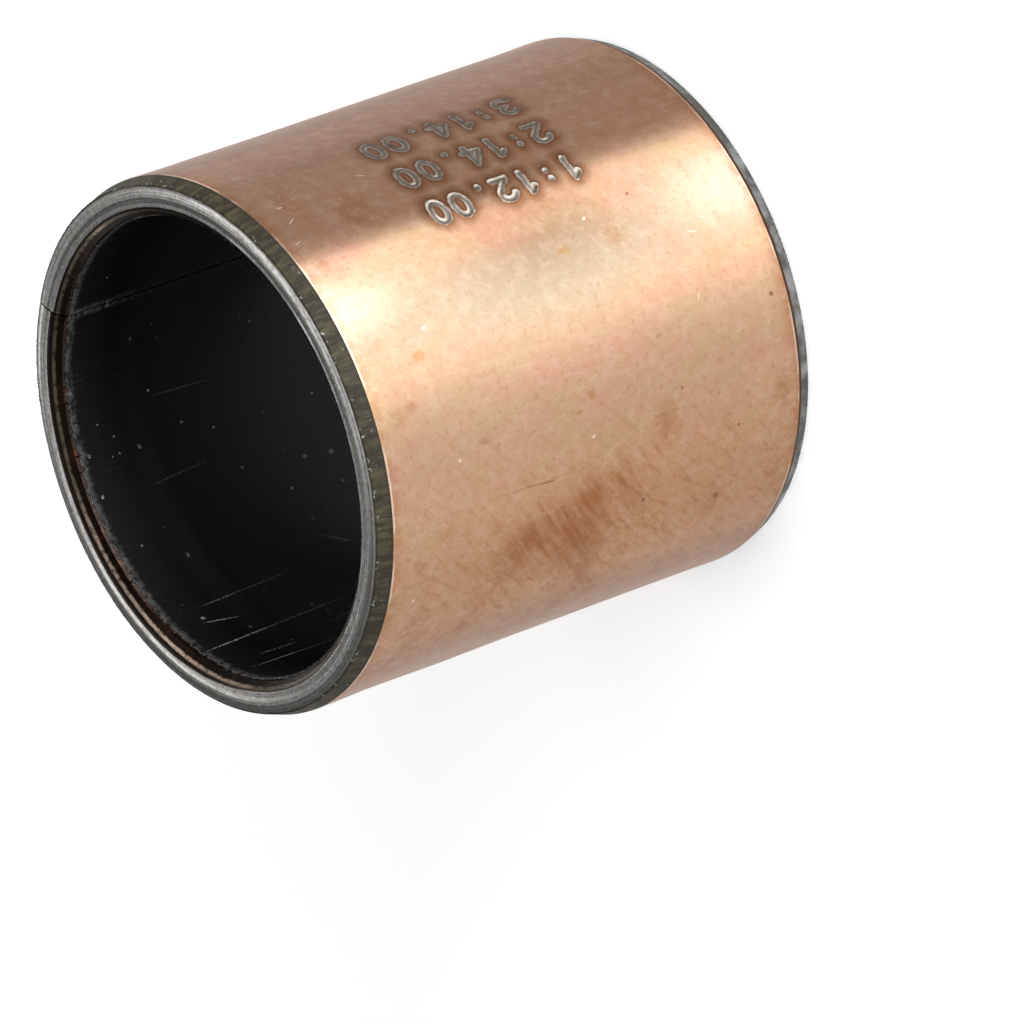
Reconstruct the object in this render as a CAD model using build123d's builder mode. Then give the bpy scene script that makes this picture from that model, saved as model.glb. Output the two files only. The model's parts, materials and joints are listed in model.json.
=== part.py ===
"""Wrapped composite bushing: 12 mm bore, 14 mm outside, 14 mm wide.

A flat composite strip is rolled round until its two ends meet in a straight butt joint, and both
rims are then turned. Four layers lie on each other and all of them end on the turned rims: copper
plating, steel backing, sintered bronze and the black sliding liner.

The axis is +Z, the bushing stands on z = 0, and the butt joint lies on +X.
"""

import os
from math import isclose, radians, tan

from build123d import *

# Sizes over all, in millimetres.
bore_diameter = 12.0
wall_thickness = 1.0
width = 14.0

# Layers, outside to inside. The steel backing fills what the other three leave of the wall.
plating_thickness = 0.008
bronze_thickness = 0.22
liner_thickness = 0.03

# Turned rims. The long outer chamfer leads into the housing, the small inner one clears the shaft.
outer_chamfer_length = 0.48
outer_chamfer_angle = 18.0
inner_chamfer_length = 0.26
inner_chamfer_angle = 45.0
rim_edge_radius = 0.07

# Butt joint. Its outer edges are drawn in where the strip was sheared.
joint_gap = 0.05
joint_lip = 0.07

# Radii of the wall, and the radii where one layer ends and the next begins.
bore_radius = bore_diameter / 2
outside_radius = bore_radius + wall_thickness
plating_inner_radius = outside_radius - plating_thickness
bronze_inner_radius = bore_radius + liner_thickness
steel_inner_radius = bronze_inner_radius + bronze_thickness

# The flat of each rim lies between these two radii, and the chamfers begin there.
rim_outer_radius = outside_radius - outer_chamfer_length * tan(radians(outer_chamfer_angle))
rim_inner_radius = bore_radius + inner_chamfer_length * tan(radians(inner_chamfer_angle))

# The cutters run this far past the metal.
cutter_margin = 0.5


def rim_height(radius):
    """Height of the turned lower rim above z = 0, at one radius."""
    if radius > rim_outer_radius:
        return (radius - rim_outer_radius) / tan(radians(outer_chamfer_angle))
    if radius < rim_inner_radius:
        return (rim_inner_radius - radius) / tan(radians(inner_chamfer_angle))
    return 0.0


def layer_section(inner_radius, outer_radius):
    """Half section of one layer, from rim to rim, ready to be revolved about the bore axis."""
    turned_corners = [r for r in (rim_inner_radius, rim_outer_radius) if inner_radius < r < outer_radius]
    radii = [inner_radius, *turned_corners, outer_radius]
    lower_rim = [(r, rim_height(r)) for r in radii]
    upper_rim = [(r, width - rim_height(r)) for r in reversed(radii)]
    with BuildSketch(Plane.XZ) as section:
        with BuildLine():
            Polyline(*lower_rim, *upper_rim, close=True)
        make_face()
    return section.sketch


# Butt joint: the air between the two ends of the strip, flared over the outer edges
with BuildPart() as butt_joint:
    with BuildSketch(Plane.XY.offset(-cutter_margin)):
        with BuildLine():
            half_gap = joint_gap / 2
            lip_start = (outside_radius - joint_lip, half_gap)
            lip_end = (outside_radius + cutter_margin, half_gap + joint_lip + cutter_margin)
            one_side = Polyline((bore_radius - cutter_margin, half_gap), lip_start, lip_end)
            other_side = mirror(one_side, about=Plane.XZ)
            Line(one_side @ 0, other_side @ 0)
            Line(one_side @ 1, other_side @ 1)
        make_face()
    extrude(amount=width + 2 * cutter_margin)

# Copper plating: the thin coat outside, turned away again on both outer chamfers
with BuildPart() as copper_plating:
    revolve(layer_section(plating_inner_radius, outside_radius), axis=Axis.Z)
    add(butt_joint.part, mode=Mode.SUBTRACT)
copper_plating.part.label = "copper_plating"

# Steel backing: carries the load and the press fit, with its turned outer edges broken round
with BuildPart() as steel_backing:
    revolve(layer_section(steel_inner_radius, plating_inner_radius), axis=Axis.Z)
    circles = steel_backing.edges().filter_by(GeomType.CIRCLE)
    fillet(circles.filter_by(lambda edge: isclose(edge.radius, rim_outer_radius)), rim_edge_radius)
    add(butt_joint.part, mode=Mode.SUBTRACT)
steel_backing.part.label = "steel_backing"

# Bronze layer: porous sintered bronze that keys the liner to the steel
with BuildPart() as bronze_layer:
    revolve(layer_section(bronze_inner_radius, steel_inner_radius), axis=Axis.Z)
    add(butt_joint.part, mode=Mode.SUBTRACT)
bronze_layer.part.label = "bronze_layer"

# Sliding liner: the thin black coat that the shaft runs on
with BuildPart() as sliding_liner:
    revolve(layer_section(bore_radius, bronze_inner_radius), axis=Axis.Z)
    add(butt_joint.part, mode=Mode.SUBTRACT)
sliding_liner.part.label = "sliding_liner"

os.makedirs("parts", exist_ok=True)
export_step(copper_plating.part, "parts/copper_plating.step")
export_step(steel_backing.part, "parts/steel_backing.step")
export_step(bronze_layer.part, "parts/bronze_layer.step")
export_step(sliding_liner.part, "parts/sliding_liner.step")
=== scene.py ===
"""Wrapped composite bushing: the finish of its four layers, and the stage it stands on.

Each layer is a strip bent round the bore axis, from one side of the butt joint to the other, in the
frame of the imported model. Lengths are in metres. Azimuths count from the joint, which lies on +X,
counterclockwise seen from above.
"""

import json
import math

import bpy
import numpy as np
from bpy.props import FloatProperty, FloatVectorProperty, PointerProperty, StringProperty
from bpy.types import Operator, Panel, PropertyGroup
from mathutils import Matrix, Vector


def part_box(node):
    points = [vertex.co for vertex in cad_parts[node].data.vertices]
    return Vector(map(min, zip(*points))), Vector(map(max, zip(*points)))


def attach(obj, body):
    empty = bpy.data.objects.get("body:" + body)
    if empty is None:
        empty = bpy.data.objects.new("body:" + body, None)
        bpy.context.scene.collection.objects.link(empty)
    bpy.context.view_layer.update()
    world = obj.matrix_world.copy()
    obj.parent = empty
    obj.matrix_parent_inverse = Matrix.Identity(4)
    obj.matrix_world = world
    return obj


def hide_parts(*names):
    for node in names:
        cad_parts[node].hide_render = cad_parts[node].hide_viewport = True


bl_info = {
    "name": "Wrapped Composite Bushing",
    "version": (1, 0, 0),
    "blender": (4, 5, 0),
    "location": "View3D > Sidebar > Bushing",
    "description": "Dresses the layers of a wrapped composite bushing and sets its stage",
    "category": "Add Mesh",
}

MM = 0.001
FULL_TURN = 2 * math.pi

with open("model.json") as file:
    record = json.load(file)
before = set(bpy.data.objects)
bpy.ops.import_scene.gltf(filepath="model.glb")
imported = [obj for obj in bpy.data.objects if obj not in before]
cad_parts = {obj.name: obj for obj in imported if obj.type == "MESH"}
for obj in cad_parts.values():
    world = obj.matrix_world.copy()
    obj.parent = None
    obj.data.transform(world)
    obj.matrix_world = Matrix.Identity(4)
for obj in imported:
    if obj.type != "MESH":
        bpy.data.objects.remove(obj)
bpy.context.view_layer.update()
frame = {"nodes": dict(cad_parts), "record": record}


def reach(node):
    """Radius of a layer's outermost points."""
    return max(math.hypot(vertex.co.x, vertex.co.y) for vertex in frame["nodes"][node].data.vertices)


dims = {mount["name"]: mount["dims"] for mount in frame["record"]["mounts"]}
BORE_RADIUS = dims["bore"]["r_mm"] * MM
OUTSIDE_RADIUS = dims["outside"]["r_mm"] * MM
LINER_RADIUS = reach("sliding_liner")
BRONZE_RADIUS = reach("bronze_layer")
STEEL_RADIUS = reach("steel_backing")
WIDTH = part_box("steel_backing")[1].z
INNER_CHAMFER = (WIDTH - dims["bore"]["length_mm"] * MM) / 2
OUTER_CHAMFER = (WIDTH - dims["outside"]["length_mm"] * MM) / 2
OUTER_CHAMFER_SLOPE = math.tan(math.radians(18))
FACE_INNER_RADIUS = BORE_RADIUS + INNER_CHAMFER
FACE_OUTER_RADIUS = OUTSIDE_RADIUS - OUTER_CHAMFER * OUTER_CHAMFER_SLOPE


class BushingJoint(PropertyGroup):
    """Sizes of the butt joint."""

    gap: FloatProperty(
        name="Gap", description="Width of the butt joint", default=0.05 * MM, unit="LENGTH", precision=6
    )
    lip: FloatProperty(
        name="Lip", description="How far its outer edges are drawn in", default=0.07 * MM, unit="LENGTH", precision=6
    )


class BushingMarking(PropertyGroup):
    """Sizes of the stamped numerals."""

    rows: StringProperty(
        name="Rows", description="Numerals of each row, parted by spaces", default="1:12.00 2:14.00 3:14.00"
    )
    azimuth: FloatProperty(
        name="Azimuth", description="Middle of the middle row", default=math.radians(268.4), subtype="ANGLE"
    )
    row_step: FloatProperty(
        name="Row step", description="Angle from row to row", default=math.radians(11.0), subtype="ANGLE"
    )
    start: FloatProperty(
        name="Start", description="Height at which the rows start", default=4.46 * MM, unit="LENGTH", precision=5
    )
    pitch: FloatProperty(
        name="Pitch", description="Distance from numeral to numeral", default=0.70 * MM, unit="LENGTH", precision=5
    )
    size: FloatProperty(
        name="Size", description="Height of a numeral", default=0.80 * MM, unit="LENGTH", precision=5
    )
    breadth: FloatProperty(
        name="Breadth", description="Width that a numeral is drawn in", default=0.96 * MM, unit="LENGTH", precision=5
    )
    stroke: FloatProperty(
        name="Stroke", description="Half the width of a stamped stroke", default=0.068 * MM, unit="LENGTH", precision=6
    )
    depth: FloatProperty(
        name="Depth", description="Depth of a stamped stroke", default=0.010 * MM, unit="LENGTH", precision=6
    )
    lip: FloatProperty(
        name="Lip", description="Height of the metal raised beside a stroke", default=0.005 * MM, unit="LENGTH", precision=6
    )


class BushingRims(PropertyGroup):
    """Sizes of the turned rims and of the liner's torn edge."""

    crest: FloatProperty(
        name="Crest", description="Radius of the highest ring of the rim", default=6.575 * MM, unit="LENGTH", precision=5
    )
    slope: FloatProperty(
        name="Slope", description="Tilt of the rubbed slopes beside the crest", default=math.radians(11.5), subtype="ANGLE"
    )
    flatter: FloatProperty(
        name="Flatter side", description="Azimuth at which the crown is rubbed least", default=math.radians(330), subtype="ANGLE"
    )
    tool_marks: FloatProperty(
        name="Tool marks", description="Depth of the turned rings", default=0.0025 * MM, unit="LENGTH", precision=6
    )
    burr: FloatProperty(
        name="Burr", description="Height of the teeth of burr", default=0.011 * MM, unit="LENGTH", precision=6
    )
    tear: FloatProperty(
        name="Tear", description="How far the liner is torn back", default=0.12 * MM, unit="LENGTH", precision=6
    )


def colour(name, description, red, green, blue):
    """A colour property, given in linear light."""
    return FloatVectorProperty(
        name=name, description=description, default=(red, green, blue), min=0, max=1, subtype="COLOR"
    )


class BushingColours(PropertyGroup):
    """Colours of the layers, of their wear, of painted light and shade, and of the floor."""

    copper: colour("Copper", "Plating where it is clean", 0.42, 0.252, 0.157)
    copper_rosy: colour("Rosy copper", "Pinkish clouds in the plating", 0.445, 0.240, 0.162)
    copper_olive: colour("Olive copper", "Yellowish clouds in the plating", 0.395, 0.266, 0.146)
    # Pale copper of rubbed edges and flecks, also used as painted highlight at both ends of the lit band.
    copper_pale_and_highlight: colour("Pale copper", "Rubbed edges and flecks", 0.60, 0.455, 0.345)
    # Partly a pale tarnish film and partly painted shade: greys and darkens the middle of the copper's lit band.
    tarnish_and_shade: colour("Tarnish", "Pale beige film", 0.30, 0.240, 0.166)
    copper_warm: colour("Warm copper", "Handled area round the smear", 0.41, 0.203, 0.098)
    # Painted shade: darker copper for the sides of the wall that face away from the lamps.
    copper_side_shade: colour("Dull copper", "Plating round the numerals and on the left", 0.31, 0.164, 0.100)
    stain: colour("Stain", "Brown smear and spots", 0.25, 0.085, 0.026)
    ochre: colour("Ochre", "Yellow-brown spots", 0.29, 0.138, 0.022)
    stamped: colour("Stamped metal", "Bared metal in the numerals", 0.24, 0.195, 0.160)
    # Rubbed metal and painted highlight on the edges of the stamped strokes.
    stamped_lip_highlight: colour("Stamped lip", "Rubbed metal beside the strokes", 0.42, 0.375, 0.325)
    # Tarnish round the numerals; also painted shade on the wall's sides, in its lit band and on the lower rim's edge.
    outline: colour("Outline", "Tarnish round the numerals", 0.13, 0.042, 0.014)
    steel: colour("Steel", "Turned face", 0.25, 0.245, 0.24)
    steel_bright: colour("Bright steel", "Burnished rings", 0.52, 0.51, 0.50)
    steel_dull: colour("Dull steel", "Shaded rings and blotches", 0.075, 0.056, 0.030)
    grime_pale: colour("Pale grime", "Drawn streaks in the dirt", 0.044, 0.034, 0.017)
    steel_lower: colour("Lower chamfer", "Outer chamfer of the lower rim", 0.095, 0.089, 0.079)
    # Oily dirt on the upper chamfer, also mixed into the painted shade on the lower rim's edge.
    grime_and_shade: colour("Grime", "Oily dirt on the upper chamfer", 0.013, 0.010, 0.005)
    # Turned bronze, also used as painted highlight on the bronze line at one place.
    bronze: colour("Bronze", "Turned bronze", 0.50, 0.375, 0.290)
    bronze_dull: colour("Dull bronze", "Smeared bronze", 0.13, 0.105, 0.075)
    # Torn bronze, its pores and dark joint lines, also used as painted shade along the bronze's edge.
    bronze_dark_and_shade: colour("Dark bronze", "Torn bronze and its pores", 0.014, 0.009, 0.007)
    rust: colour("Rust", "Reddish patches in the torn bronze", 0.034, 0.014, 0.009)
    liner: colour("Liner", "Sliding surface", 0.004, 0.004, 0.0042)
    liner_greyed: colour("Greyed liner", "Sliding surface away from the rims", 0.034, 0.033, 0.0318)
    liner_worn: colour("Worn liner", "Scuffs and scratches", 0.060, 0.054, 0.050)
    dust: colour("Dust", "Specks of dust", 0.75, 0.72, 0.66)
    floor: colour("Floor", "Plain pale floor", 0.88, 0.88, 0.88)


class BushingStage(PropertyGroup):
    """Camera and lamps."""

    azimuth: FloatProperty(
        name="Azimuth", description="Where the camera stands", default=math.radians(-133.06), subtype="ANGLE"
    )
    elevation: FloatProperty(
        name="Elevation", description="How far it looks down", default=math.radians(34.67), subtype="ANGLE"
    )
    roll: FloatProperty(
        name="Roll", description="How far it is turned on its side", default=math.radians(-110.09), subtype="ANGLE"
    )
    distance: FloatProperty(
        name="Distance", description="From the camera to its aim", default=302.2 * MM, unit="LENGTH"
    )
    focal_length: FloatProperty(
        name="Focal length", description="Of the camera's lens, in millimetres", default=421.9
    )
    aim: FloatVectorProperty(
        name="Aim", description="Point at the middle of the view", default=(-3.336 * MM, 2.382 * MM, 6.223 * MM), unit="LENGTH"
    )
    level: FloatProperty(
        name="Level", description="Strength of every lamp", default=1.0, min=0
    )


class Strip:
    """A layer's surface: closed sections of the strip, one for each azimuth from joint to joint."""

    def __init__(self, azimuths, radii, heights):
        self.azimuths = azimuths[:, None]
        self.radii = np.broadcast_to(radii, (len(azimuths), radii.shape[-1])).copy()
        self.heights = np.broadcast_to(heights, self.radii.shape).copy()
        self.marks = {}

    def build(self, name, node, joint, finish):
        """Bend the strip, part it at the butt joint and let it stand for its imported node."""
        half_gap = joint.gap / 2 + np.maximum(self.radii - (OUTSIDE_RADIUS - joint.lip), 0)
        joint_angle = np.arcsin(half_gap / self.radii)
        angles = joint_angle + self.azimuths * (1 - joint_angle / math.pi)
        points = np.stack((self.radii * np.cos(angles), self.radii * np.sin(angles), self.heights), axis=-1)
        index = np.arange(self.radii.size).reshape(self.radii.shape)
        here, there = index[:-1], index[1:]
        corners = (here, there, np.roll(there, -1, axis=1), np.roll(here, -1, axis=1))
        faces = np.stack(corners, axis=-1).reshape(-1, 4).tolist()
        faces += [index[0].tolist(), index[-1][::-1].tolist()]
        mesh = bpy.data.meshes.new(name)
        mesh.from_pydata(points.reshape(-1, 3).tolist(), [], faces)
        for mark, values in self.marks.items():
            attribute = mesh.attributes.new(mark, "FLOAT", "POINT")
            attribute.data.foreach_set("value", values.astype(np.float32).ravel())
        mesh.shade_smooth()
        mesh.set_sharp_from_angle(angle=math.radians(50))
        mesh.materials.append(finish.material)
        piece = bpy.data.objects.new(name, mesh)
        bpy.context.scene.collection.objects.link(piece)
        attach(piece, "root")
        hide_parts(node)
        return piece


def around(count):
    """Azimuths from one side of the joint to the other."""
    return np.linspace(0, FULL_TURN, count + 1)


def ripple(azimuths, fewest, most, seed):
    """A seeded ripple round the axis, of waves that close on themselves, mostly within -1 and 1."""
    draw = np.random.default_rng(seed)
    waves = draw.integers(fewest, most, size=24)
    phases = draw.uniform(0, FULL_TURN, size=24)
    return np.sin(waves * azimuths[..., None] + phases).sum(axis=-1) / math.sqrt(24)


def smooth_step(values, start, end):
    """0 before start, 1 after end and a smooth rise between them."""
    share = np.clip((values - start) / (end - start), 0, 1)
    return share * share * (3 - 2 * share)


def arc(x, y, width, height, start, end):
    """Points along an elliptical arc, in degrees counterclockwise."""
    angles = np.radians(np.linspace(start, end, 15))
    return [(x + width * math.cos(a), y + height * math.sin(a)) for a in angles]


NUMERALS = {
    "0": [arc(0.35, 0.50, 0.22, 0.42, 0, 360)],
    "1": [[(0.20, 0.72), (0.38, 0.92), (0.38, 0.08)]],
    "2": [arc(0.34, 0.69, 0.22, 0.23, 170, -35) + [(0.13, 0.08), (0.58, 0.08)]],
    "3": [arc(0.32, 0.71, 0.20, 0.21, 150, -90) + arc(0.32, 0.29, 0.23, 0.21, 90, -150)[1:]],
    "4": [[(0.44, 0.08), (0.44, 0.92), (0.10, 0.32), (0.60, 0.32)]],
    ":": [[(0.35, 0.33), (0.35, 0.36)], [(0.35, 0.67), (0.35, 0.70)]],
    ".": [[(0.30, 0.08), (0.30, 0.11)]],
}


def marking_strokes(marking):
    """Every straight piece of the stamped strokes, as (arc length, height) ends on the wall."""
    rows = marking.rows.split()
    strokes = []
    for row, numerals in enumerate(rows):
        middle = marking.azimuth + (row - (len(rows) - 1) / 2) * marking.row_step
        base = middle * OUTSIDE_RADIUS + marking.size / 2
        for place, numeral in enumerate(numerals):
            left = marking.start + place * marking.pitch
            for line in NUMERALS[numeral]:
                points = [(base - y * marking.size, left + x * marking.breadth) for x, y in line]
                strokes += list(zip(points, points[1:]))
    return np.array(strokes)


def distance_to_strokes(arcs, heights, strokes):
    """Distance from each point of the wall to the nearest stamped stroke."""
    nearest = np.full(arcs.shape, np.inf)
    for (start_arc, start_height), (end_arc, end_height) in strokes:
        along = np.array((end_arc - start_arc, end_height - start_height))
        share = ((arcs - start_arc) * along[0] + (heights - start_height) * along[1]) / (along @ along)
        share = np.clip(share, 0, 1)
        gap = np.hypot(arcs - start_arc - share * along[0], heights - start_height - share * along[1])
        nearest = np.minimum(nearest, gap)
    return nearest


def spaced(start, end, step):
    """Even steps from start up to end, without end itself."""
    return np.linspace(start, end, max(1, round((end - start) / step)), endpoint=False)


MARGIN = 0.35 * MM
PLATING_BACK = STEEL_RADIUS - 0.045 * MM
STEEL_BACK = STEEL_RADIUS - 0.055 * MM


def stamped_patch(marking):
    """First and last azimuth and lowest and highest point of the wall round the numerals."""
    side = 1.5 * marking.row_step + MARGIN / OUTSIDE_RADIUS
    places = max(len(row) for row in marking.rows.split())
    return (
        marking.azimuth - side,
        marking.azimuth + side,
        marking.start - MARGIN,
        marking.start + places * marking.pitch + MARGIN,
    )


def copper_strip(marking):
    """Thin coat outside, a little uneven, with the numerals stamped into it."""
    first, last, low, high = stamped_patch(marking)
    fine, coarse, step = 0.03 * MM, math.radians(2), 0.4 * MM
    azimuths = np.concatenate(
        (
            spaced(0, first, coarse),
            spaced(first, last, fine / OUTSIDE_RADIUS),
            spaced(last, FULL_TURN, coarse),
            [FULL_TURN],
        )
    )
    end = (OUTSIDE_RADIUS - FACE_OUTER_RADIUS) / OUTER_CHAMFER_SLOPE
    inner_end = (STEEL_RADIUS - FACE_OUTER_RADIUS) / OUTER_CHAMFER_SLOPE
    edge = np.array((0, 0.01, 0.03, 0.06)) * MM
    outside = np.concatenate(
        (
            end + edge,
            spaced(end + 0.1 * MM, low, step),
            spaced(low, high, fine),
            spaced(high, WIDTH - end - 0.1 * MM, step),
            WIDTH - end - edge[::-1],
        )
    )
    inside = np.array((WIDTH - inner_end, WIDTH - end - 0.15 * MM, high, high - MARGIN / 3, low + MARGIN / 3, low))
    inside = np.append(inside, (end + 0.15 * MM, inner_end))
    strip = Strip(azimuths, np.full(len(outside) + len(inside), OUTSIDE_RADIUS), np.concatenate((outside, inside)))
    wall, back = np.s_[:, : len(outside)], np.s_[:, len(outside) :]

    heights = strip.heights[wall]
    arcs = np.broadcast_to(strip.azimuths * OUTSIDE_RADIUS, heights.shape)
    gap = distance_to_strokes(arcs, heights, marking_strokes(marking)) / marking.stroke
    groove = 1 - smooth_step(gap, 0.3, 1.0)
    lip = smooth_step(gap, 0.8, 1.3) * (1 - smooth_step(gap, 1.3, 2.2))
    wave = ripple(strip.azimuths, 3, 12, 5) + 0.8 * ripple(strip.azimuths + 1.5 * heights / WIDTH, 5, 16, 6)
    from_end = np.minimum(heights - end, WIDTH - end - heights)
    wave = 0.007 * MM * (wave - 3) * smooth_step(from_end, 0, 1.5 * MM)
    rounding = 0.006 * MM * (1 - smooth_step(from_end, 0, 0.06 * MM))
    strip.radii[wall] += np.clip(wave, -0.036 * MM, 0) - rounding + marking.lip * lip - marking.depth * groove

    sunk = (strip.azimuths > first + MARGIN / OUTSIDE_RADIUS / 2) & (strip.azimuths < last - MARGIN / OUTSIDE_RADIUS / 2)
    behind = np.array((0, 1, 1, 1, 1, 1, 1, 0)) * (STEEL_RADIUS - PLATING_BACK)
    deeper = np.array((0, 0, 0, 1, 1, 0, 0, 0)) * 1.2 * marking.depth
    strip.radii[back] = STEEL_RADIUS - behind - sunk * deeper
    strip.marks = {"stroke_gap": np.full(strip.radii.shape, 9.0)}
    strip.marks["stroke_gap"][wall] = np.minimum(gap, 9)
    return strip


def steel_rim(rims, azimuths):
    """Radii of one turned rim from the bronze outwards, and how deep each lies below the end plane."""
    inner = np.linspace(BRONZE_RADIUS, BRONZE_RADIUS + 0.15 * MM, 13)
    face = np.concatenate((inner, np.linspace(inner[-1], FACE_OUTER_RADIUS - 0.03 * MM, 20)[1:]))
    edge = np.linspace(FACE_OUTER_RADIUS - 0.03 * MM, FACE_OUTER_RADIUS + 0.04 * MM, 9)[1:]
    chamfer = np.linspace(FACE_OUTER_RADIUS + 0.04 * MM, STEEL_RADIUS, 8)[1:]
    radii = np.concatenate((face, edge, chamfer))
    from_crest = radii - rims.crest
    inner_slope = np.clip(-from_crest - 0.045 * MM, 0, 0.10 * MM) + 0.35 * np.maximum(-from_crest - 0.145 * MM, 0)
    outer_slope = np.maximum(from_crest - 0.045 * MM, 0)
    broken_edge = np.maximum(BRONZE_RADIUS + 0.05 * MM - radii, 0) ** 2 / (0.16 * MM)
    flatter = 0.7 * np.exp(-(((azimuths - rims.flatter) / 0.55) ** 2))[:, None]
    crown = math.tan(rims.slope) * (inner_slope + (1 - flatter) * outer_slope) + broken_edge
    slope = (radii - FACE_OUTER_RADIUS) / OUTER_CHAMFER_SLOPE
    soft = 0.0135 * MM
    depth = soft * np.logaddexp(crown / soft, slope / soft)
    depth += smooth_step(radii, FACE_OUTER_RADIUS + 0.04 * MM, STEEL_RADIUS) * (slope - depth)
    rings = np.random.default_rng(11).uniform(-1, 1, size=len(radii))
    rings *= 1 - smooth_step(radii, FACE_OUTER_RADIUS - 0.05 * MM, FACE_OUTER_RADIUS)
    rings[0] = 0
    depth = depth + rims.tool_marks * rings * (1 + 0.4 * ripple(azimuths, 2, 30, 12)[:, None])
    teeth = np.clip(ripple(azimuths, 240, 400, 13) * (0.5 + 0.6 * ripple(azimuths, 2, 9, 14)), 0, 2)[:, None]
    burr = rims.burr * teeth * np.exp(-(((radii - FACE_OUTER_RADIUS) / (0.018 * MM)) ** 2))
    return radii + 0.5 * burr, np.maximum(depth - burr, 0)


def steel_strip(marking, rims):
    """Backing strip: turned rims at both ends, its hidden outer wall set back behind the plating."""
    azimuths = around(840)
    radii, depths = steel_rim(rims, azimuths)
    first, last, low, high = stamped_patch(marking)
    end = depths[0, -1] + 0.05 * MM
    wall_heights = np.array((end, low, low + MARGIN / 4, high - MARGIN / 4, high, WIDTH - end))
    inside = ((azimuths > first) & (azimuths < last))[:, None]
    wall_radii = STEEL_BACK - 1.6 * marking.depth * np.array((0, 0, 1, 1, 0, 0)) * inside
    heights = (depths, np.broadcast_to(wall_heights, wall_radii.shape), WIDTH - depths[:, ::-1])
    return Strip(azimuths, np.concatenate((radii, wall_radii, radii[:, ::-1]), axis=1), np.concatenate(heights, axis=1))


def bronze_strip():
    """Sintered layer, seen where the small inner chamfer cuts it, a hair below the steel."""
    azimuths = around(720)
    radii = np.linspace(BRONZE_RADIUS, LINER_RADIUS, 14)
    pores = np.stack([ripple(azimuths, 60, 340, 30 + row) for row in range(len(radii))], axis=1)
    step = 0.008 * MM + 0.012 * MM * np.exp(-(BRONZE_RADIUS - radii) / (0.012 * MM))
    depths = FACE_INNER_RADIUS - radii + step + 0.006 * MM * np.maximum(pores, 0)
    radii = np.broadcast_to(radii, depths.shape)
    return Strip(
        azimuths,
        np.concatenate((radii[:, ::-1], radii), axis=1),
        np.concatenate((depths[:, ::-1], WIDTH - depths), axis=1),
    )


def liner_strip(rims):
    """Black coat of the bore, torn back unevenly where the inner chamfer was turned."""
    azimuths = around(720)
    jagged = 0.45 + 0.2 * ripple(azimuths, 2, 30, 41) + 0.3 * ripple(azimuths, 80, 340, 42)
    edge = INNER_CHAMFER + rims.tear * np.clip(jagged, 0.02, 1.4)[:, None]
    steps = np.array((0, 0.008, 0.02, 0.04, 0.07, 0.11, 0.16, 0.24, 0.4)) * MM
    lumps = np.stack([ripple(azimuths, 50, 300, 50 + row) for row in range(len(steps))], axis=1)
    lift = 0.010 * MM * np.array((0.7, 1, 0.9, 0.6, 0.4, 0.25, 0.12, 0.04, 0)) * (1 + 0.8 * lumps)
    wall = np.linspace(edge.max() + 0.6 * MM, WIDTH - edge.max() - 0.6 * MM, 14)
    wall = np.broadcast_to(wall[::-1], (len(azimuths), len(wall)))
    heights = (edge, WIDTH - edge, WIDTH - edge - steps, wall, (edge + steps)[:, ::-1])
    back = np.full((len(azimuths), 2), LINER_RADIUS - 0.001 * MM)
    radii = (back, BORE_RADIUS - lift, np.full(wall.shape, BORE_RADIUS), BORE_RADIUS - lift[:, ::-1])
    strip = Strip(azimuths, np.concatenate(radii, axis=1), np.concatenate(heights, axis=1))
    torn = 1 - smooth_step(steps, 0.07 * MM, 0.24 * MM)
    scuffed = np.concatenate((np.ones(2), torn, np.zeros(wall.shape[1]), torn[::-1]))
    strip.marks = {"scuffed": np.broadcast_to(scuffed, strip.radii.shape)}
    return strip


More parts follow.
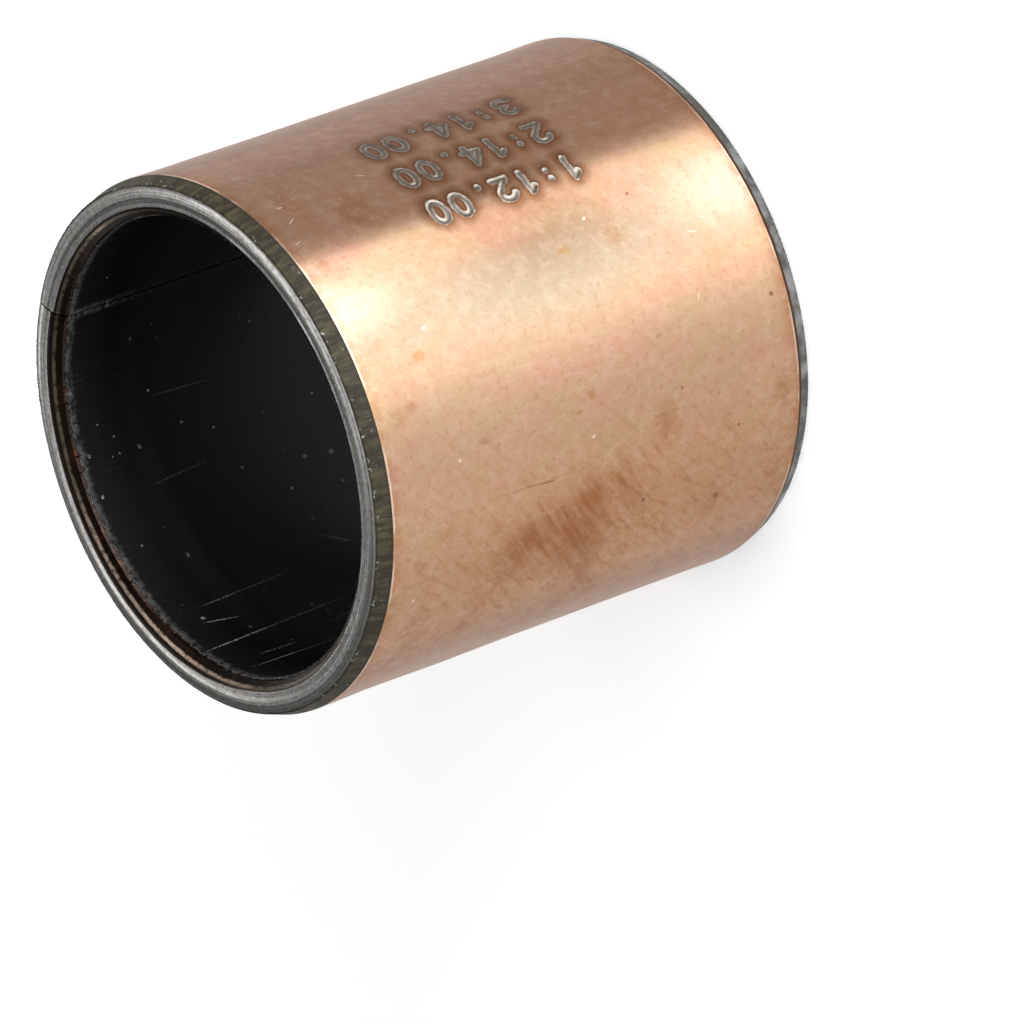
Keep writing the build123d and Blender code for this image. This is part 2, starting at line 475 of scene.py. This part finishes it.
class Finish:
    """One material, and short calls for the nodes that its surface is made of."""

    def __init__(self, name, **surface):
        self.material = bpy.data.materials.new(name)
        self.material.use_nodes = True
        self.tree = self.material.node_tree
        self.principled = self.tree.nodes["Principled BSDF"]
        for socket, value in surface.items():
            self.surface(socket.replace("_", " ").title(), value)

    def surface(self, socket, value):
        """Feed one socket of the surface with a value or with another node's output."""
        self.feed(self.principled.inputs[socket], value)

    def feed(self, socket, value):
        """Link an output, or set a plain value."""
        if isinstance(value, bpy.types.NodeSocket):
            self.tree.links.new(value, socket)
        elif socket.type == "RGBA" and len(value) == 3:
            socket.default_value = (*value, 1)
        else:
            socket.default_value = value

    def node(self, kind, inputs=None, **settings):
        """Add a node with its settings and its fed inputs, named or numbered."""
        node = self.tree.nodes.new("ShaderNode" + kind)
        for setting, value in settings.items():
            setattr(node, setting, value)
        for socket, value in (inputs or {}).items():
            self.feed(node.inputs[socket], value)
        return node

    def math(self, operation, first, second=0.0, third=0.0):
        """One sum on numbers."""
        return self.node("Math", {0: first, 1: second, 2: third}, operation=operation).outputs[0]

    def rise(self, value, start, end):
        """0 before start and 1 after end, or the other way round where start is the larger."""
        inputs = {"Value": value, "From Min": start, "From Max": end}
        return self.node("MapRange", inputs, interpolation_type="SMOOTHSTEP").outputs[0]

    def mix(self, share, first, second):
        """Blend two colours."""
        node = self.node("Mix", {0: share}, data_type="RGBA")
        self.feed(node.inputs[6], first)
        self.feed(node.inputs[7], second)
        return node.outputs[2]

    def most(self, *values):
        """The largest of several masks."""
        largest = values[0]
        for value in values[1:]:
            largest = self.math("MAXIMUM", largest, value)
        return largest

    def mark(self, name):
        """A mask that the mesh carries."""
        return self.node("Attribute", attribute_name=name).outputs["Fac"]

    def wall(self, radius):
        """Place on the wall in millimetres: arc length from the far side of the joint, height, radius."""
        place = self.node("TexCoord").outputs["Object"]
        scaled = self.node("VectorMath", {0: place, "Scale": 1 / MM}, operation="SCALE").outputs[0]
        x, y, self.height = self.node("SeparateXYZ", {0: scaled}).outputs
        turn = self.math("ARCTAN2", self.math("MULTIPLY", y, -1.0), self.math("MULTIPLY", x, -1.0))
        self.distance = self.math("SQRT", self.math("MULTIPLY_ADD", x, x, self.math("MULTIPLY", y, y)))
        self.radius = radius / MM
        self.arc = self.math("MULTIPLY", turn, self.radius)
        parts = {0: self.arc, 1: self.height}
        self.flat = self.node("CombineXYZ", parts).outputs[0]
        self.deep = self.node("CombineXYZ", {**parts, 2: self.distance}).outputs[0]

    def noise(self, across, along, through=0.0, detail=2.0, roughness=0.5, tilt=0.0):
        """Noise on the wall, in waves per millimetre round it, up it and through it, tilted in degrees."""
        turned = self.node("Mapping", {0: self.deep, "Rotation": (0, 0, math.radians(-tilt))}).outputs[0]
        scaled = self.node("VectorMath", {0: turned, 1: (across, along, through)}, operation="MULTIPLY").outputs[0]
        inputs = {"Vector": scaled, "Scale": 1.0, "Detail": detail, "Roughness": roughness}
        return self.node("TexNoise", inputs).outputs[0]

    def spot(self, azimuth, height, half_arc, half_height, tilt=0.0):
        """How far a place is from a spot, 1 on its outline. Angles are in degrees, sizes in millimetres."""
        place = {
            0: self.flat,
            "Location": (math.radians(azimuth - 180) * self.radius, height, 0),
            "Rotation": (0, 0, math.radians(tilt)),
            "Scale": (half_arc, half_height, 1),
        }
        local = self.node("Mapping", place, vector_type="TEXTURE").outputs[0]
        return self.node("VectorMath", {0: local}, operation="LENGTH").outputs["Value"]

    def spots(self, places, ragged, raggedness=0.8):
        """One mask of several spots with ragged outlines."""
        shift = self.math("MULTIPLY_ADD", ragged, raggedness, -raggedness / 2)
        masks = [self.rise(self.math("ADD", self.spot(*place), shift), 1.15, 0.55) for place in places]
        return self.most(*masks)

    def times(self, *masks):
        """Several masks multiplied."""
        product = masks[0]
        for mask in masks[1:]:
            product = self.math("MULTIPLY", product, mask)
        return product

    def bump(self, height, distance, strength=1.0):
        """Let a mask raise the surface."""
        inputs = {"Height": height, "Distance": distance, "Strength": strength}
        self.surface("Normal", self.node("Bump", inputs).outputs[0])


# Places as azimuth in degrees, height, half arc and half height in millimetres, and tilt in degrees.
SMEAR = (
    (180, 8.3, 0.80, 0.80, 34),
    (184.5, 7.6, 0.65, 0.55, 34),
    (171, 7.4, 0.85, 0.45, 34),
    (162.5, 6.6, 0.65, 0.35, 34),
    (176, 6.8, 0.70, 0.40, 34),
    (187, 6.6, 0.55, 0.35, 34),
    (191.5, 6.1, 0.40, 0.25, 34),
    (182, 5.6, 0.60, 0.30, 34),
    (177, 9.8, 0.60, 0.60, 50),
    (183.5, 9.1, 0.40, 0.50, 10),
    (189, 7.2, 0.35, 0.30, 34),
    (168, 10.3, 0.50, 0.20, 50),
)
FAINT_STAINS = (
    (198.5, 4.8, 0.55, 0.45),
    (174.7, 3.0, 0.50, 0.35),
    (177, 1.0, 0.60, 0.25),
    (196.7, 1.0, 0.50, 0.25),
    (219, 12.9, 0.22, 0.25),
    (220.4, 12.4, 0.14, 0.20),
    (254, 12.9, 0.18, 0.20),
    (208, 10.5, 0.15, 0.18),
    (191.6, 11.8, 0.15, 0.25),
    (240, 4.8, 0.40, 0.30),
    (264, 11.0, 0.60, 0.50),
    (272, 12.4, 0.50, 0.30),
    (195.6, 8.9, 0.030, 1.30, -1),
    (186, 12.5, 0.20, 0.16, 30),
    (187, 12.8, 0.12, 0.22, 60),
    (161, 12.4, 0.70, 1.10, 40),
    (169, 12.5, 0.40, 0.50, 40),
    (163, 10.6, 0.40, 0.70, 40),
)
OCHRE_SPOTS = (
    (229.5, 11.7, 0.16, 0.23),
    (210.2, 7.0, 0.14, 0.13),
    (207.5, 7.45, 0.07, 0.13),
    (240, 6.4, 0.10, 0.22),
    (217, 4.6, 0.07, 0.10),
)
DARK_DOTS = (
    (182.3, 5.42, 0.07, 0.08),
    (217.4, 0.94, 0.08, 0.08),
    (192.4, 2.43, 0.045, 0.06),
    (205, 4.2, 0.045, 0.05),
    (247, 3.8, 0.05, 0.06),
    (176, 2.9, 0.10, 0.08),
    (195.2, 8.66, 0.028, 0.27, -3),
)
LIGHT_TICKS = (
    (267, 12.75, 0.020, 0.16, 30),
    (271.6, 12.7, 0.030, 0.10),
    (273, 10.0, 0.018, 0.16, -30),
    (261, 13.1, 0.018, 0.14, 20),
    (235, 2.6, 0.018, 0.18, -20),
    (237, 2.1, 0.020, 0.12),
    (246, 1.6, 0.018, 0.16, 35),
    (222, 3.1, 0.020, 0.12, 60),
)
BORE_SCRATCHES = (
    (98, 11.1, 0.035, 2.4, -2),
    (113.4, 11.8, 0.030, 1.3, 2),
    (83.4, 11.0, 0.020, 1.6, -2),
    (29.4, 10.2, 0.020, 1.2, 3),
    (49, 10.8, 0.022, 0.9, -4),
    (104, 9.4, 0.020, 0.8, -3),
    (108, 12.0, 0.020, 0.6, 4),
    (90, 12.3, 0.020, 0.5, 12),
    (78.6, 7.7, 0.05, 0.5, 35),
)
BORE_SPECKS = (
    (62, 8.0, 0.05, 0.06),
    (64.6, 6.5, 0.045, 0.05),
    (37.6, 10.4, 0.04, 0.05),
    (41.4, 9.5, 0.04, 0.05),
    (53, 9.1, 0.035, 0.05),
    (55.6, 7.2, 0.06, 0.08),
    (56.6, 6.4, 0.07, 0.09),
    (41.6, 6.3, 0.045, 0.05),
    (27.4, 11.2, 0.04, 0.05),
    (19, 7.8, 0.03, 0.05),
)


def copper_finish(colours):
    """Thin copper plating: cloudy, finely mottled, brown where it was handled, with painted shade on its sides and
    painted highlight and shade in its lit band.
    """
    finish = Finish("copper plating", metallic=1.0, anisotropic=1.0, anisotropic_rotation=0.25)
    finish.wall(OUTSIDE_RADIUS)
    clouds = finish.rise(finish.noise(0.5, 0.22, detail=3.0), 0.38, 0.64)
    haze = finish.rise(finish.noise(1.4, 0.7, detail=4.0), 0.40, 0.68)
    mottle = finish.noise(6.0, 5.0, detail=4.0, roughness=0.65)
    grain = finish.noise(2.6, 2.0, detail=5.0, roughness=0.7)
    wisps = finish.noise(1.1, 5.0, detail=4.0, roughness=0.6, tilt=44)
    streaks = finish.noise(0.6, 5.0, detail=5.0, roughness=0.65, tilt=35)
    lines = finish.noise(9.0, 0.35, detail=3.0)
    tone = finish.mix(clouds, colours.copper, colours.copper_rosy)
    tone = finish.mix(finish.math("MULTIPLY", haze, 0.6), tone, colours.copper_olive)
    handled = finish.rise(finish.spot(174, 6.8, 3.2, 7.5), 1.5, 0.2)
    tone = finish.mix(finish.math("MULTIPLY", handled, 0.8), tone, colours.copper_warm)
    # Painted shade: darkens the copper on both sides of the wall, more at azimuth 284 than at 140.
    side_shade = finish.most(
        finish.rise(finish.spot(284, 7.2, 3.6, 16.0), 1.0, 0.80),
        finish.math("MULTIPLY", finish.rise(finish.spot(140, 7.2, 2.8, 16.0), 1.2, 0.70), 0.6),
    )
    # Painted shade: the outline colour darkens the wall further towards both side edges.
    edge_shade = finish.most(
        finish.rise(finish.spot(300, 7.2, 2.8, 16.0), 1.1, 0.4),
        finish.math("MULTIPLY", finish.rise(finish.spot(146, 7.2, 2.4, 16.0), 1.1, 0.4), 0.6),
    )
    tone = finish.mix(finish.math("MULTIPLY", side_shade, 0.9), tone, colours.copper_side_shade)
    tone = finish.mix(finish.math("MULTIPLY", edge_shade, 0.32), tone, colours.outline)
    tone = finish.mix(finish.math("MULTIPLY", finish.rise(lines, 0.50, 0.8), 0.10), tone, colours.copper_pale_and_highlight)
    # Pale film, partly tarnish and partly painted shade, over the middle heights of the lit band.
    from_film_shade = finish.math("MULTIPLY_ADD", clouds, 0.15, finish.spot(237.0, 7.2, 1.35, 6.0))
    film_and_shade = finish.times(finish.rise(from_film_shade, 1.35, 0.35), 0.85)
    tone = finish.mix(film_and_shade, tone, colours.tarnish_and_shade)
    # Painted shade: the outline colour darkens the middle heights of the lit band next to the numerals.
    from_shade = finish.math("MULTIPLY_ADD", clouds, 0.15, finish.spot(247.0, 6.9, 1.55, 3.2))
    tone = finish.mix(finish.times(finish.rise(from_shade, 1.45, 0.20), 0.42), tone, colours.outline)
    # Rubbed plating and painted highlight: pale copper at the top and bottom of the lit band.
    worn_and_highlight = finish.most(finish.rise(finish.spot(243, 13.2, 1.1, 2.2), 1.1, 0.1), finish.rise(finish.spot(242, 0.8, 1.4, 2.8), 1.1, 0.1))
    tone = finish.mix(finish.math("MULTIPLY", worn_and_highlight, 0.7), tone, colours.copper_pale_and_highlight)
    tone = finish.mix(finish.math("MULTIPLY", finish.rise(grain, 0.56, 0.34), 0.16), tone, colours.copper_pale_and_highlight)
    tone = finish.mix(finish.math("MULTIPLY", finish.rise(mottle, 0.50, 0.74), 0.34), tone, colours.stain)
    wispy = finish.times(finish.rise(wisps, 0.50, 0.72), finish.math("MULTIPLY_ADD", handled, 0.52, 0.08))
    tone = finish.mix(wispy, tone, colours.stain)
    cloud = 0.0
    for place in SMEAR:
        cloud = finish.math("ADD", finish.rise(finish.spot(*place), 2.6, 0.0), cloud)
    uneven = finish.math("MULTIPLY_ADD", streaks, 2.2, finish.math("MULTIPLY_ADD", grain, 1.4, -1.8))
    smear = finish.times(
        finish.rise(finish.math("ADD", cloud, uneven), 0.0, 2.4),
        finish.math("MULTIPLY_ADD", finish.rise(streaks, 0.35, 0.65), 0.30, 0.56),
    )
    faint = finish.most(*[finish.rise(finish.spot(*place), 1.7, 0.0) for place in FAINT_STAINS])
    faint = finish.times(faint, finish.rise(grain, 0.30, 0.62), 0.50)
    tone = finish.mix(finish.most(smear, faint), tone, colours.stain)
    tone = finish.mix(finish.math("MULTIPLY", finish.spots(OCHRE_SPOTS, mottle, 1.6), 0.5), tone, colours.ochre)
    tone = finish.mix(finish.math("MULTIPLY", finish.spots(DARK_DOTS, mottle, 1.8), 0.65), tone, colours.outline)
    flecks = finish.rise(finish.noise(5.0, 3.2, detail=0.0, tilt=20), 0.86, 0.92)
    tone = finish.mix(finish.most(flecks, finish.spots(LIGHT_TICKS, mottle)), tone, colours.copper_pale_and_highlight)

    worn_in = finish.noise(5.0, 5.0, detail=3.0, roughness=0.6)
    gap = finish.math("MULTIPLY_ADD", worn_in, 2.0, finish.math("SUBTRACT", finish.mark("stroke_gap"), 1.0))
    outlined = finish.most(
        finish.math("MULTIPLY", finish.rise(gap, 7.0, 1.6), 0.68), finish.math("MULTIPLY", finish.rise(gap, 3.2, 1.9), 0.90)
    )
    tone = finish.mix(outlined, tone, colours.outline)
    in_stroke = finish.rise(gap, 1.65, 1.25)
    # Partly rubbed metal, partly painted highlight: stroke edges lighter than their cores.
    lip_highlight = finish.times(finish.rise(gap, 0.2, 0.95), finish.rise(finish.noise(4.0, 4.0, detail=2.0), 0.36, 0.54))
    bared = finish.mix(lip_highlight, colours.stamped, colours.stamped_lip_highlight)
    tone = finish.mix(in_stroke, tone, bared)

    from_middle = finish.math("ABSOLUTE", finish.math("SUBTRACT", finish.height, WIDTH / MM / 2))
    browned = finish.times(finish.rise(from_middle, 6.15, 6.50), finish.rise(grain, 0.30, 0.62), 0.45)
    tone = finish.mix(browned, tone, colours.stain)
    wavy = finish.math("MULTIPLY_ADD", mottle, 0.10, finish.math("SUBTRACT", from_middle, 0.05))
    rubbed = finish.times(finish.rise(wavy, 6.48, 6.495), finish.rise(clouds, 0.1, 0.6), 0.7)
    tone = finish.mix(rubbed, tone, colours.copper_pale_and_highlight)
    finish.surface("Base Color", tone)
    rough = finish.math("MULTIPLY_ADD", mottle, 0.08, 0.28)
    finish.surface("Roughness", finish.math("MULTIPLY_ADD", in_stroke, 0.22, rough))
    finish.bump(mottle, 0.003 * MM, 0.5)
    return finish


def steel_finish(colours):
    """Turned steel: grey ringed face, bright where the crown is rubbed, dull and oiled on the chamfer, with dark joint
    lines and painted shade at the bronze's edge and on the lower rim's outer edge.
    """
    finish = Finish("turned steel")
    finish.wall(OUTSIDE_RADIUS)
    rings = finish.noise(0.12, 0.0, 26.0, detail=3.0, roughness=0.6)
    blotches = finish.noise(1.6, 0.0, 5.0, detail=4.0, roughness=0.6)
    grit = finish.noise(7.0, 7.0, 9.0, detail=3.0, roughness=0.6)
    tone = finish.mix(finish.rise(rings, 0.35, 0.65), colours.steel, colours.steel_bright)
    tone = finish.mix(finish.math("MULTIPLY", finish.rise(blotches, 0.45, 0.7), 0.3), tone, colours.steel_dull)
    tone = finish.mix(finish.math("MULTIPLY", finish.rise(grit, 0.48, 0.66), 0.35), tone, colours.steel_dull)
    tone = finish.mix(finish.math("MULTIPLY", finish.rise(grit, 0.46, 0.32), 0.35), tone, colours.steel_bright)
    face_end = FACE_OUTER_RADIUS / MM
    uneven = finish.math("MULTIPLY_ADD", blotches, 0.05, finish.math("SUBTRACT", finish.distance, 0.025))
    on_chamfer = finish.rise(uneven, face_end - 0.09, face_end - 0.01)
    upper = finish.rise(finish.height, 6.0, 8.0)
    drawn = finish.noise(6.0, 1.2, detail=4.0, roughness=0.7)
    dirt = finish.mix(finish.rise(drawn, 0.40, 0.70), colours.grime_and_shade, colours.grime_pale)
    flecks = finish.most(
        finish.rise(grit, 0.66, 0.76),
        finish.times(
            finish.rise(grit, 0.58, 0.66), finish.rise(blotches, 0.46, 0.58), finish.rise(uneven, face_end + 0.06, face_end + 0.02)
        ),
    )
    dirt = finish.mix(finish.times(flecks, 0.5), dirt, colours.steel_bright)
    lower = finish.mix(finish.rise(blotches, 0.42, 0.66), colours.steel_lower, colours.steel)
    tone = finish.mix(on_chamfer, tone, finish.mix(upper, lower, dirt))
    dirty = finish.times(on_chamfer, upper, finish.math("SUBTRACT", 1.0, finish.times(flecks, 0.8)))
    bronze_edge = BRONZE_RADIUS / MM
    # Dark joint lines, with painted shade along the bronze's edge, widened on the far side of the rim.
    far_side_shade = finish.rise(finish.spot(46, WIDTH / MM, 8.0, 9.0), 1.2, 0.6)
    from_axis = finish.math("MULTIPLY_ADD", far_side_shade, -0.11, finish.distance)
    seams_and_shade = finish.most(
        finish.rise(from_axis, bronze_edge + 0.040, bronze_edge + 0.015),
        finish.math("MULTIPLY", finish.rise(finish.distance, 6.955, 6.985), 0.6),
    )
    tone = finish.mix(seams_and_shade, tone, colours.bronze_dark_and_shade)
    # Painted shade: a brown line where the plating's edge shades the lower rim.
    lower_seam_shade = finish.rise(finish.distance, 6.950, 6.975)
    lower_seam_shade = finish.times(lower_seam_shade, finish.math("SUBTRACT", 1.0, upper), finish.rise(blotches, 0.34, 0.50))
    tone = finish.mix(lower_seam_shade, tone, finish.mix(0.5, colours.outline, colours.grime_and_shade))
    finish.surface("Base Color", tone)
    rough = finish.math("MULTIPLY_ADD", blotches, 0.16, 0.20)
    finish.surface("Roughness", finish.math("MULTIPLY_ADD", on_chamfer, 0.35, rough))
    finish.surface("Metallic", finish.math("SUBTRACT", 1.0, dirty))
    finish.surface("Specular IOR Level", 0.15)
    finish.bump(finish.math("ADD", rings, grit), 0.004 * MM, 0.7)
    return finish


def bronze_finish(colours):
    """Sintered bronze: a turned line beside the steel with a painted highlight at one place, shaded along the steel's
    edge, torn and dark towards the liner.
    """
    finish = Finish("sintered bronze", metallic=1.0)
    finish.wall(BRONZE_RADIUS)
    grains = finish.noise(7.0, 7.0, 9.0, detail=3.0, roughness=0.6)
    patches = finish.noise(0.35, 0.0, detail=3.0)
    steel_edge = BRONZE_RADIUS / MM
    uneven = finish.math("MULTIPLY_ADD", grains, 0.04, finish.math("SUBTRACT", finish.distance, 0.02))
    # Painted highlight: the bronze line lighter near azimuth 84, plus random lighter patches.
    bright = finish.most(
        finish.rise(finish.spot(84, WIDTH / MM, 3.8, 9.0), 1.2, 0.7), finish.math("MULTIPLY", finish.rise(patches, 0.52, 0.66), 0.6)
    )
    tone = finish.mix(bright, colours.bronze_dull, colours.bronze)
    tone = finish.mix(finish.math("MULTIPLY", finish.rise(grains, 0.5, 0.38), 0.6), tone, colours.bronze_dark_and_shade)
    # Painted shade along the steel's edge, and torn dark bronze towards the liner.
    dark = finish.most(
        finish.rise(uneven, steel_edge - 0.055, steel_edge - 0.01), finish.rise(uneven, steel_edge - 0.075, steel_edge - 0.115)
    )
    rusty = finish.times(finish.rise(finish.noise(1.3, 0.0, detail=3.0), 0.50, 0.62), finish.rise(grains, 0.35, 0.60))
    tone = finish.mix(dark, tone, finish.mix(rusty, colours.bronze_dark_and_shade, colours.rust))
    finish.surface("Base Color", tone)
    finish.surface("Roughness", finish.math("MULTIPLY_ADD", grains, 0.3, 0.22))
    finish.bump(grains, 0.005 * MM, 0.7)
    return finish


def liner_finish(colours):
    """Black sliding coat, with light scratches along the bore, scuffed at its torn edge."""
    finish = Finish("black liner", metallic=0.0)
    finish.surface("Specular IOR Level", 0.4)
    finish.surface("Specular Tint", (1.0, 0.95, 0.90))
    finish.wall(BORE_RADIUS)
    grain = finish.noise(10.0, 10.0, detail=4.0, roughness=0.7)
    lumps = finish.noise(4.0, 6.0, detail=3.0, roughness=0.6)
    drawn = finish.noise(12.0, 0.4, detail=3.0)
    scuffed = finish.times(finish.mark("scuffed"), finish.rise(lumps, 0.30, 0.62), 0.8)
    rubbed = finish.math("MULTIPLY", finish.rise(drawn, 0.60, 0.85), 0.25)
    scratches = finish.times(finish.spots(BORE_SCRATCHES, drawn), finish.rise(grain, 0.30, 0.60), 0.35)
    beside_joint = finish.rise(finish.math("ABSOLUTE", finish.arc), math.pi * finish.radius - 0.22, math.pi * finish.radius - 0.05)
    beside_joint = finish.times(beside_joint, finish.rise(lumps, 0.35, 0.60), 0.9)
    from_middle = finish.math("ABSOLUTE", finish.math("SUBTRACT", finish.height, WIDTH / MM / 2))
    tone = finish.mix(finish.rise(from_middle, 5.3, 3.6), colours.liner, colours.liner_greyed)
    tone = finish.mix(finish.most(scuffed, rubbed, beside_joint), tone, colours.liner_worn)
    lint = finish.rise(finish.noise(4.6, 4.6, detail=0.0), 0.80, 0.86)
    lint = finish.times(lint, finish.rise(grain, 0.35, 0.6), 0.25)
    tone = finish.mix(finish.most(lint, scratches, finish.spots(BORE_SPECKS, lumps, 0.4)), tone, colours.dust)
    finish.surface("Base Color", tone)
    finish.surface("Roughness", finish.math("MULTIPLY_ADD", grain, 0.12, 0.22))
    finish.bump(grain, 0.003 * MM, 0.6)
    return finish


class BUSHING_OT_copper_plating(Operator):
    """Thin copper coat outside, with its stamped numerals"""

    bl_idname = "bushing.copper_plating"
    bl_label = "Copper Plating"

    def execute(self, context):
        scene = context.scene
        strip = copper_strip(scene.bushing_marking)
        strip.build("plated_outside", "copper_plating", scene.bushing_joint, copper_finish(scene.bushing_colours))
        return {"FINISHED"}


class BUSHING_OT_steel_backing(Operator):
    """Steel strip with its turned rims"""

    bl_idname = "bushing.steel_backing"
    bl_label = "Steel Backing"

    def execute(self, context):
        scene = context.scene
        strip = steel_strip(scene.bushing_marking, scene.bushing_rims)
        strip.build("turned_backing", "steel_backing", scene.bushing_joint, steel_finish(scene.bushing_colours))
        return {"FINISHED"}


class BUSHING_OT_bronze_layer(Operator):
    """Sintered bronze between the steel and the liner"""

    bl_idname = "bushing.bronze_layer"
    bl_label = "Bronze Layer"

    def execute(self, context):
        scene = context.scene
        bronze_strip().build("sintered_layer", "bronze_layer", scene.bushing_joint, bronze_finish(scene.bushing_colours))
        return {"FINISHED"}


class BUSHING_OT_sliding_liner(Operator):
    """Black coat that the shaft runs on"""

    bl_idname = "bushing.sliding_liner"
    bl_label = "Sliding Liner"

    def execute(self, context):
        scene = context.scene
        strip = liner_strip(scene.bushing_rims)
        strip.build("bore_liner", "sliding_liner", scene.bushing_joint, liner_finish(scene.bushing_colours))
        return {"FINISHED"}


def direction(azimuth, elevation):
    """Unit vector towards a place round the object, both angles in radians."""
    level = math.cos(elevation)
    return Vector((level * math.cos(azimuth), level * math.sin(azimuth), math.sin(elevation)))


# Name, azimuth from the camera's and elevation in degrees, width and height in metres, radiance.
LAMPS = (
    ("low_lamp", 160, 9, 0.20, 0.09, 4.0),
    ("edge_lamp", 140, 30, 0.13, 0.13, 3.5),
    ("left_edge_lamp", -140, 22, 0.14, 0.14, 0.9),
    ("high_lamp", 165, 50, 0.16, 0.16, 2.2),
    ("bronze_lamp", 88, 37, 0.12, 0.12, 2.6),
    ("chamfer_lamp", 112, 5, 0.12, 0.06, 6.0),
    ("top_lamp", -60, 76, 0.40, 0.40, 0.5),
)
LAMP_DISTANCE = 0.42
# Low wall of light bent round the object, strip by strip: its radiance at azimuths from the camera's.
WALL_AZIMUTHS = (-150, -112, -80, -64, -48, -32, -16, 0, 8, 53)
WALL_RADIANCES = (0.3, 2.6, 3.6, 5.4, 6.2, 6.6, 10.6, 24.0, 27.5, 27.5)
WALL_STRIP = 8.0
WALL_ELEVATION = 7
WALL_HEIGHT = 0.10
WALL_TINT = (0.97, 1.03, 1.07)
FLOOR_LIFT = 0.38


def softbox(name, azimuth, elevation, width, height, radiance, camera_azimuth, level, tint=(1, 1, 1)):
    """A soft lamp that faces the object, lit to a set radiance."""
    lamp = bpy.data.lights.new(name, "AREA")
    lamp.shape = "RECTANGLE"
    lamp.size, lamp.size_y = width, height
    lamp.energy = radiance * level * math.pi * width * height
    lamp.color = tint
    holder = bpy.data.objects.new(name, lamp)
    towards = direction(camera_azimuth + math.radians(azimuth), math.radians(elevation))
    turned = towards.to_track_quat("Z", "Y").to_matrix().to_4x4()
    holder.matrix_world = Matrix.Translation(Vector((0, 0, WIDTH / 2)) + towards * LAMP_DISTANCE) @ turned
    holder.visible_camera = False
    bpy.context.scene.collection.objects.link(holder)


class BUSHING_OT_stage(Operator):
    """Pale floor, soft lamps and the camera"""

    bl_idname = "bushing.stage"
    bl_label = "Stage"

    def execute(self, context):
        scene = context.scene
        stage = scene.bushing_stage
        floor_mesh = bpy.data.meshes.new("floor")
        reach_out = 4.0
        corners = [(reach_out * x, reach_out * y, 0) for x, y in ((-1, -1), (1, -1), (1, 1), (-1, 1))]
        floor_mesh.from_pydata(corners, [], [(0, 1, 2, 3)])
        floor = bpy.data.objects.new("floor", floor_mesh)
        scene.collection.objects.link(floor)
        finish = Finish("pale floor", roughness=0.9)
        finish.surface("Base Color", scene.bushing_colours.floor)
        finish.surface("Specular IOR Level", 0.0)
        seen_by = finish.node("LightPath").outputs
        seen = finish.most(seen_by["Is Camera Ray"], seen_by["Is Glossy Ray"], seen_by["Is Transmission Ray"])
        finish.surface("Emission Color", (1.0, 1.0, 1.0))
        finish.surface("Emission Strength", finish.math("MULTIPLY", seen, FLOOR_LIFT))
        floor_mesh.materials.append(finish.material)

        for lamp in LAMPS:
            softbox(*lamp, stage.azimuth, stage.level)
        width = 2 * LAMP_DISTANCE * math.tan(math.radians(WALL_STRIP / 2))
        count = round((WALL_AZIMUTHS[-1] - WALL_AZIMUTHS[0]) / WALL_STRIP)
        for place in range(count):
            azimuth = WALL_AZIMUTHS[-1] - (place + 0.5) * WALL_STRIP
            radiance = float(np.interp(azimuth, WALL_AZIMUTHS, WALL_RADIANCES))
            shape = (azimuth, WALL_ELEVATION, width, WALL_HEIGHT, radiance)
            softbox(f"wall_{place + 1}", *shape, stage.azimuth, stage.level, WALL_TINT)

        world = bpy.data.worlds.new("studio")
        world.use_nodes = True
        world.node_tree.nodes["Background"].inputs["Color"].default_value = (1.0, 0.97, 0.94, 1)
        world.node_tree.nodes["Background"].inputs["Strength"].default_value = 0.15
        scene.world = world
        scene.view_settings.view_transform = "Standard"

        camera_data = bpy.data.cameras.new("camera")
        camera_data.lens = stage.focal_length
        camera_data.clip_start, camera_data.clip_end = 10 * MM, 10.0
        camera = bpy.data.objects.new("camera", camera_data)
        towards = direction(stage.azimuth, stage.elevation)
        turned = towards.to_track_quat("Z", "Y").to_matrix().to_4x4() @ Matrix.Rotation(stage.roll, 4, "Z")
        camera.matrix_world = Matrix.Translation(Vector(stage.aim) + towards * stage.distance) @ turned
        scene.collection.objects.link(camera)
        scene.camera = camera
        return {"FINISHED"}


PIECES = (
    BUSHING_OT_copper_plating,
    BUSHING_OT_steel_backing,
    BUSHING_OT_bronze_layer,
    BUSHING_OT_sliding_liner,
    BUSHING_OT_stage,
)
SETTINGS = {
    "bushing_joint": BushingJoint,
    "bushing_marking": BushingMarking,
    "bushing_rims": BushingRims,
    "bushing_colours": BushingColours,
    "bushing_stage": BushingStage,
}


class BUSHING_PT_panel(Panel):
    """Sidebar panel with the bushing's settings and its operators"""

    bl_idname = "BUSHING_PT_panel"
    bl_label = "Wrapped Bushing"
    bl_space_type = "VIEW_3D"
    bl_region_type = "UI"
    bl_category = "Bushing"

    def draw(self, context):
        for piece in PIECES:
            self.layout.operator(piece.bl_idname)
        for setting in SETTINGS:
            group = getattr(context.scene, setting)
            box = self.layout.box()
            for name in group.bl_rna.properties.keys():
                if name not in {"rna_type", "name"}:
                    box.prop(group, name)


def register():
    """Make the operators, the panel and the settings known."""
    for kind in (*SETTINGS.values(), *PIECES, BUSHING_PT_panel):
        bpy.utils.register_class(kind)
    for setting, kind in SETTINGS.items():
        setattr(bpy.types.Scene, setting, PointerProperty(type=kind))


def unregister():
    """Forget them again."""
    for setting in SETTINGS:
        delattr(bpy.types.Scene, setting)
    for kind in reversed((*SETTINGS.values(), *PIECES, BUSHING_PT_panel)):
        bpy.utils.unregister_class(kind)


def main():
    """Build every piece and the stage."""
    register()
    bpy.ops.bushing.copper_plating()
    bpy.ops.bushing.steel_backing()
    bpy.ops.bushing.bronze_layer()
    bpy.ops.bushing.sliding_liner()
    bpy.ops.bushing.stage()


if __name__ == "__main__":
    main()
